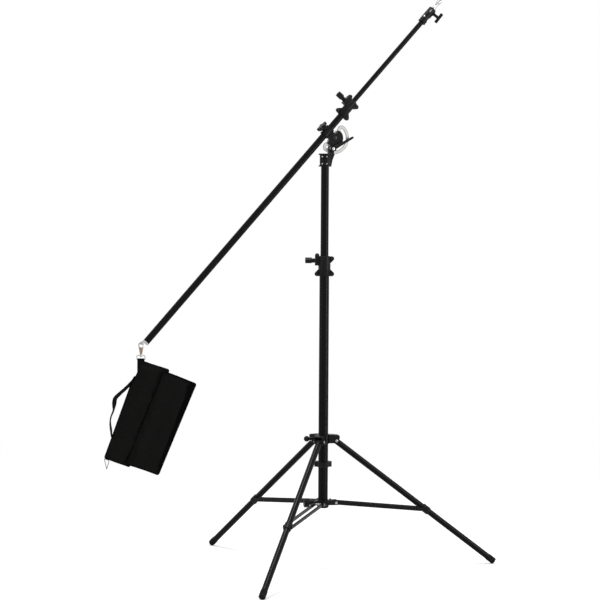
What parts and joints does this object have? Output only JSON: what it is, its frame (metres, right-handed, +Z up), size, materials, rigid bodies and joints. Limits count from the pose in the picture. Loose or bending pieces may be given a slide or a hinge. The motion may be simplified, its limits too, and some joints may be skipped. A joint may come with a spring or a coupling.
{
  "type": "overhead boom arm stand",
  "caption": "Tripod stand with a telescopic riser, a tilting head that clamps a telescopic boom with a spigot, and a fabric counterweight bag hung from the low end of the boom.",
  "frame": {"origin": "centre of the footprint on the floor", "axes": "+Z up; the boom lies in a plane of X and Z and rises towards +X"},
  "size_m": [1.441, 1.1088, 2.0668],
  "materials": {
    "black_casting": "satin",
    "black_plastic": "matt",
    "black_strip": "satin",
    "black_tube": "satin",
    "chrome": "polished",
    "cloth": "woven",
    "nickel": "plated",
    "nylon": "matt",
    "rubber": "matt",
    "steel_pin": "satin"
  },
  "bodies": {
    "column": {"column_tube": "black_tube", "brace_hub": "black_plastic", "brace_pin_a": "steel_pin", "brace_pin_b": "steel_pin", "brace_pin_c": "steel_pin", "leg_clip_ring": "black_plastic", "riser_collar": "black_plastic"},
    "brace_hub_knob": {"brace_hub_knob": "black_plastic"},
    "leg_hub": {"leg_hub": "black_plastic", "leg_pin_a": "steel_pin", "leg_pin_b": "steel_pin", "leg_pin_c": "steel_pin"},
    "leg_hub_knob": {"leg_hub_knob": "black_plastic"},
    "riser_knob": {"riser_knob": "black_plastic"},
    "riser_bush": {"riser_bush": "nylon"},
    "riser": {"riser_tube": "black_tube", "riser_plug": "nylon", "yoke": "black_casting", "pivot_bolt": "black_casting", "lever_bolt": "chrome"},
    "tilt_lever": {"tilt_lever": "black_plastic"},
    "clamp": {"boom_clamp": "black_casting", "arc_plate": "chrome", "clamp_pad": "nylon"},
    "clamp_knob": {"clamp_knob": "black_plastic"},
    "boom": {"boom_outer_tube": "black_tube", "boom_collar": "black_plastic", "boom_eye": "chrome"},
    "boom_knob": {"boom_knob": "black_plastic"},
    "boom_bush": {"boom_bush": "nylon"},
    "boom_extension": {"boom_inner_tube": "black_tube", "boom_plug": "nylon", "head_socket": "black_casting"},
    "head_screw": {"head_screw": "black_plastic"},
    "spigot": {"spigot": "chrome"},
    "hook": {"snap_hook": "nickel"},
    "hook_gate": {"hook_gate": "nickel"},
    "swivel": {"swivel_loop": "chrome"},
    "bag": {"sandbag": "cloth", "sandbag_front_pouch": "cloth", "carry_strap": "cloth"},
    "low_ring": {"low_ring": "chrome"},
    "leg_a": {"leg_head_a": "black_plastic", "leg_tube_a": "black_tube", "leg_collar_a": "black_plastic", "foot_a": "rubber"},
    "brace_a": {"brace_strip_a_left": "black_strip", "brace_strip_a_right": "black_strip"},
    "leg_b": {"leg_head_b": "black_plastic", "leg_tube_b": "black_tube", "leg_collar_b": "black_plastic", "foot_b": "rubber"},
    "brace_b": {"brace_strip_b_left": "black_strip", "brace_strip_b_right": "black_strip"},
    "leg_c": {"leg_head_c": "black_plastic", "leg_tube_c": "black_tube", "leg_collar_c": "black_plastic", "foot_c": "rubber"},
    "brace_c": {"brace_strip_c_left": "black_strip", "brace_strip_c_right": "black_strip"}
  },
  "joints": [
    {"name": "hub_slide", "type": "slide", "parent": "column", "child": "leg_hub", "axis": [0, 0, 1], "range_m": [0, 0.534]},
    {"name": "leg_a_fold", "type": "hinge", "parent": "leg_hub", "child": "leg_a", "pos_m": [0.06658, -0.00729, 0.45966], "axis": [-0.9336, -0.3584, 0], "range_deg": [-0.5, 53.2]},
    {"name": "brace_a_fold", "type": "hinge", "parent": "column", "child": "brace_a", "pos_m": [0.06658, -0.00729, 0.237], "axis": [-0.9336, -0.3584, 0], "range_deg": [-96, 0.5]},
    {"name": "leg_b_fold", "type": "hinge", "parent": "leg_hub", "child": "leg_b", "pos_m": [0.05439, -0.08428, 0.45966], "axis": [0.7771, -0.6293, 0], "range_deg": [-0.5, 53.2]},
    {"name": "brace_b_fold", "type": "hinge", "parent": "column", "child": "brace_b", "pos_m": [0.05439, -0.08428, 0.237], "axis": [0.7771, -0.6293, 0], "range_deg": [-96, 0.5]},
    {"name": "leg_c_fold", "type": "hinge", "parent": "leg_hub", "child": "leg_c", "pos_m": [0.12716, -0.05634, 0.45966], "axis": [0.1564, 0.9877, 0], "range_deg": [-0.5, 53.2]},
    {"name": "brace_c_fold", "type": "hinge", "parent": "column", "child": "brace_c", "pos_m": [0.12716, -0.05634, 0.237], "axis": [0.1564, 0.9877, 0], "range_deg": [-96, 0.5]},
    {"name": "leg_hub_knob_turn", "type": "hinge", "parent": "leg_hub", "child": "leg_hub_knob", "pos_m": [0.08271, -0.0493, 0.46716], "axis": [-0.9877, 0.1564, 0], "range_deg": [-270, 45]},
    {"name": "brace_hub_knob_turn", "type": "hinge", "parent": "column", "child": "brace_hub_knob", "pos_m": [0.08271, -0.0493, 0.237], "axis": [-0.9877, 0.1564, 0], "range_deg": [-270, 45]},
    {"name": "riser_knob_turn", "type": "hinge", "parent": "column", "child": "riser_knob", "pos_m": [0.08271, -0.0493, 1.1075], "axis": [-0.9397, 0.342, 0], "range_deg": [-270, 45]},
    {"name": "riser_turn", "type": "hinge", "parent": "column", "child": "riser_bush", "pos_m": [0.08271, -0.0493, 1.053], "axis": [0, 0, 1], "continuous": true},
    {"name": "riser_slide", "type": "slide", "parent": "riser_bush", "child": "riser", "axis": [0, 0, 1], "range_m": [-0.305, 0.42]},
    {"name": "tilt_lever_turn", "type": "hinge", "parent": "riser", "child": "tilt_lever", "pos_m": [0.10761, -0.0493, 1.50999], "axis": [0, -1, 0], "range_deg": [-60, 20]},
    {"name": "boom_tilt", "type": "hinge", "parent": "riser", "child": "clamp", "pos_m": [0.11891, -0.0493, 1.5494], "axis": [0, -1, 0], "range_deg": [-48, 11]},
    {"name": "clamp_knob_turn", "type": "hinge", "parent": "clamp", "child": "clamp_knob", "pos_m": [0.09019, -0.0493, 1.57131], "axis": [-0.742, 0, 0.6704], "range_deg": [-270, 45]},
    {"name": "boom_slide", "type": "slide", "parent": "clamp", "child": "boom", "axis": [0.6704, 0, 0.742], "range_m": [-0.05, 0.3]},
    {"name": "boom_knob_turn", "type": "hinge", "parent": "boom", "child": "boom_knob", "pos_m": [0.17734, -0.0493, 1.66777], "axis": [-0.742, 0, 0.6704], "range_deg": [-270, 45]},
    {"name": "boom_roll", "type": "hinge", "parent": "boom", "child": "boom_bush", "pos_m": [0.14382, -0.0493, 1.63067], "axis": [0.6704, 0, 0.742], "continuous": true},
    {"name": "boom_extend", "type": "slide", "parent": "boom_bush", "child": "boom_extension", "axis": [0.6704, 0, 0.742], "range_m": [-0.38, 0.45]},
    {"name": "head_screw_turn", "type": "hinge", "parent": "boom_extension", "child": "head_screw", "pos_m": [0.49177, -0.0493, 2.01575], "axis": [0.6778, -0.4067, -0.6125], "range_deg": [-270, 45]},
    {"name": "spigot_turn", "type": "hinge", "parent": "boom_extension", "child": "spigot", "pos_m": [0.50116, -0.0493, 2.02614], "axis": [0.6704, 0, 0.742], "range_deg": [-90, 90]},
    {"name": "hook_swing", "type": "hinge", "parent": "boom", "child": "hook", "pos_m": [-0.60029, -0.0493, 0.82117], "axis": [0, -1, 0], "range_deg": [-11.5, 48.5]},
    {"name": "hook_gate_open", "type": "hinge", "parent": "hook", "child": "hook_gate", "pos_m": [-0.59569, -0.0493, 0.80017], "axis": [0, -1, 0], "range_deg": [0, 15], "stiffness_Nm_per_rad": 0.04, "springref_deg": -17.19},
    {"name": "hook_turn", "type": "hinge", "parent": "hook", "child": "swivel", "pos_m": [-0.60029, -0.0493, 0.78417], "axis": [0, 0, 1], "continuous": true},
    {"name": "bag_swing", "type": "hinge", "parent": "swivel", "child": "bag", "pos_m": [-0.60029, -0.0493, 0.76707], "axis": [0.9397, -0.342, 0], "range_deg": [-20, 20]},
    {"name": "ring_swing", "type": "hinge", "parent": "bag", "child": "low_ring", "pos_m": [-0.71047, -0.0092, 0.41632], "axis": [0.8802, -0.3204, -0.3502], "range_deg": [-40, 40]}
  ],
  "couplings": [
    {"joint": "leg_a_fold", "follows": "hub_slide", "rad_per_m": 1.7209},
    {"joint": "brace_a_fold", "follows": "hub_slide", "rad_per_m": -3.115},
    {"joint": "leg_b_fold", "follows": "hub_slide", "rad_per_m": 1.7209},
    {"joint": "brace_b_fold", "follows": "hub_slide", "rad_per_m": -3.115},
    {"joint": "leg_c_fold", "follows": "hub_slide", "rad_per_m": 1.7209},
    {"joint": "brace_c_fold", "follows": "hub_slide", "rad_per_m": -3.115},
    {"joint": "hook_swing", "follows": "boom_tilt", "ratio": -1}
  ]
}
